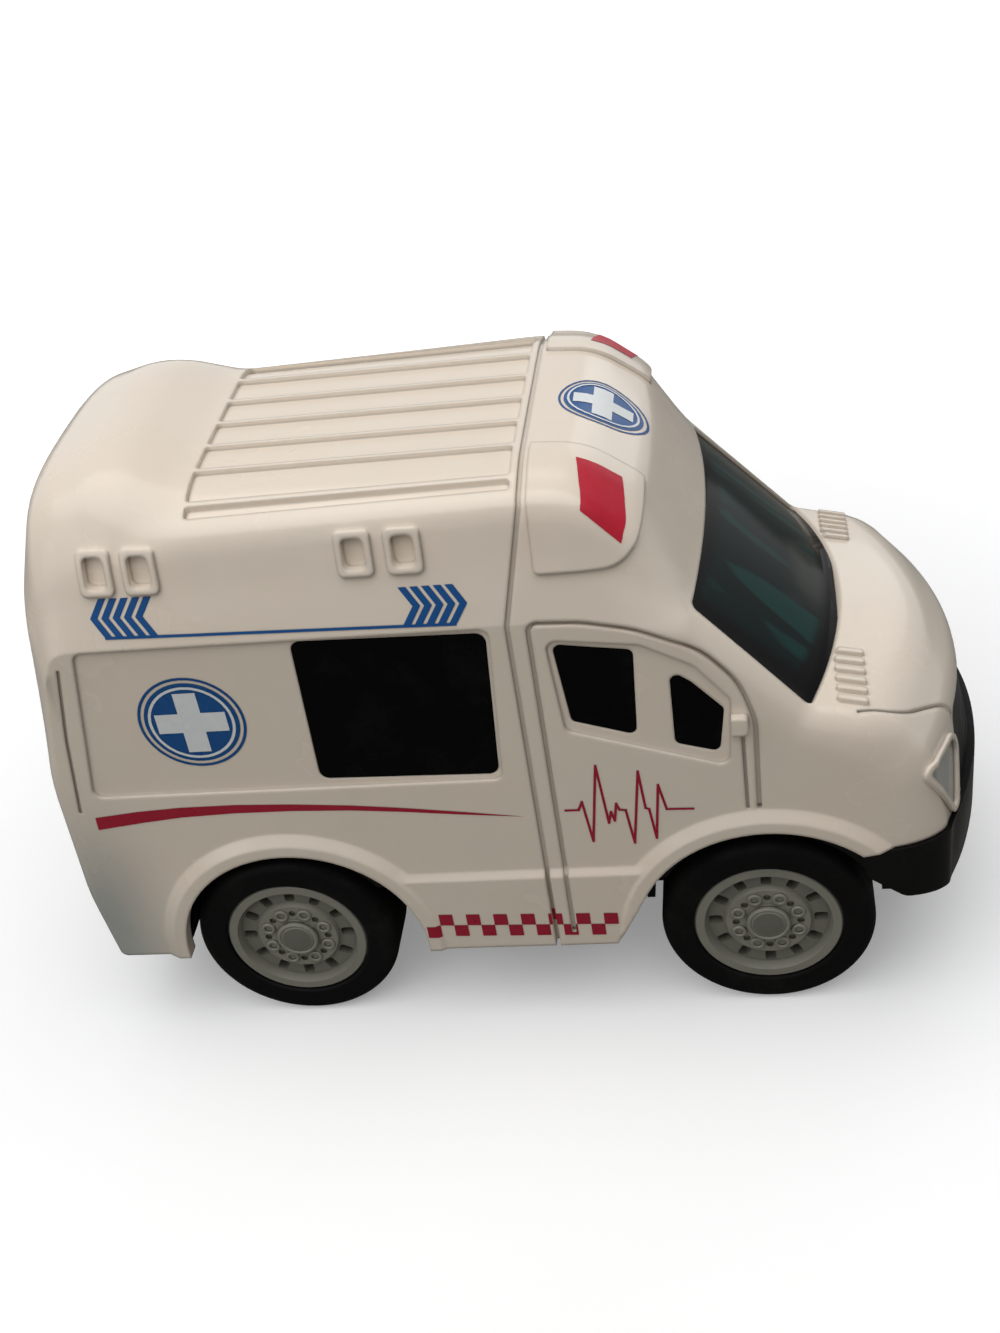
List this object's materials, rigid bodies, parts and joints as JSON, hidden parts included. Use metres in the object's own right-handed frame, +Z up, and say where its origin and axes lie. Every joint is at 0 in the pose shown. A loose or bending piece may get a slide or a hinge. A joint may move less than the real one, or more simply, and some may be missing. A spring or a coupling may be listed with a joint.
{
  "type": "toy ambulance",
  "caption": "Small die-cast toy ambulance with a white hollow body, smoked windows, moulded black base, rolling wheels and a pull-back motor.",
  "frame": {"origin": "on the ground under the middle of the van, half way between the axles", "axes": "+X towards the front, +Y to the van's left, +Z up"},
  "size_m": [0.111, 0.049, 0.0772],
  "materials": {
    "body_paint": "gloss white enamel with dark wash in the shut lines",
    "smoked_window": "polished, nearly black",
    "lamp_lens": "clear moulded lens",
    "black_plastic": "moulded black, light grain",
    "steel": "plain bright steel",
    "hub_plastic": "light grey moulded plastic",
    "tyre_rubber": "smooth soft rubber",
    "case_plastic": "dark grey moulded plastic",
    "gear_plastic": "natural nylon",
    "spring_steel": "blued strip"
  },
  "bodies": {
    "van": {"body_shell": "body_paint", "windscreen": "smoked_window", "side_glazing": "smoked_window", "headlamp_left": "lamp_lens", "headlamp_right": "lamp_lens", "chassis_base": "black_plastic", "front_bumper": "black_plastic", "body_screws": "steel", "motor_case_left": "case_plastic", "motor_case_right": "case_plastic", "motor_screws": "steel"},
    "front_wheels": {"front_axle": "steel", "hub_front_left": "hub_plastic", "hub_front_right": "hub_plastic", "tyre_front_left": "tyre_rubber", "tyre_front_right": "tyre_rubber"},
    "rear_wheels": {"rear_axle": "steel", "hub_rear_left": "hub_plastic", "hub_rear_right": "hub_plastic", "tyre_rear_left": "tyre_rubber", "tyre_rear_right": "tyre_rubber", "drive_pinion": "gear_plastic"},
    "idler": {"idler_gear": "gear_plastic"},
    "drum": {"spring_drum": "gear_plastic", "mainspring": "spring_steel"}
  },
  "joints": [
    {"name": "front_axle_spin", "type": "hinge", "parent": "van", "child": "front_wheels", "pos_m": [0.0294, 0, 0.0128], "axis": [0, 1, 0], "continuous": true},
    {"name": "rear_axle_spin", "type": "hinge", "parent": "van", "child": "rear_wheels", "pos_m": [-0.0294, 0, 0.0128], "axis": [0, 1, 0], "continuous": true},
    {"name": "idler_spin", "type": "hinge", "parent": "van", "child": "idler", "pos_m": [-0.0234, 0, 0.02319], "axis": [0, 1, 0], "continuous": true},
    {"name": "drum_spin", "type": "hinge", "parent": "van", "child": "drum", "pos_m": [-0.03379, 0, 0.02919], "axis": [0, 1, 0], "continuous": true}
  ],
  "couplings": [
    {"joint": "idler_spin", "follows": "rear_axle_spin", "ratio": -0.33333},
    {"joint": "drum_spin", "follows": "rear_axle_spin", "ratio": 0.11111}
  ]
}
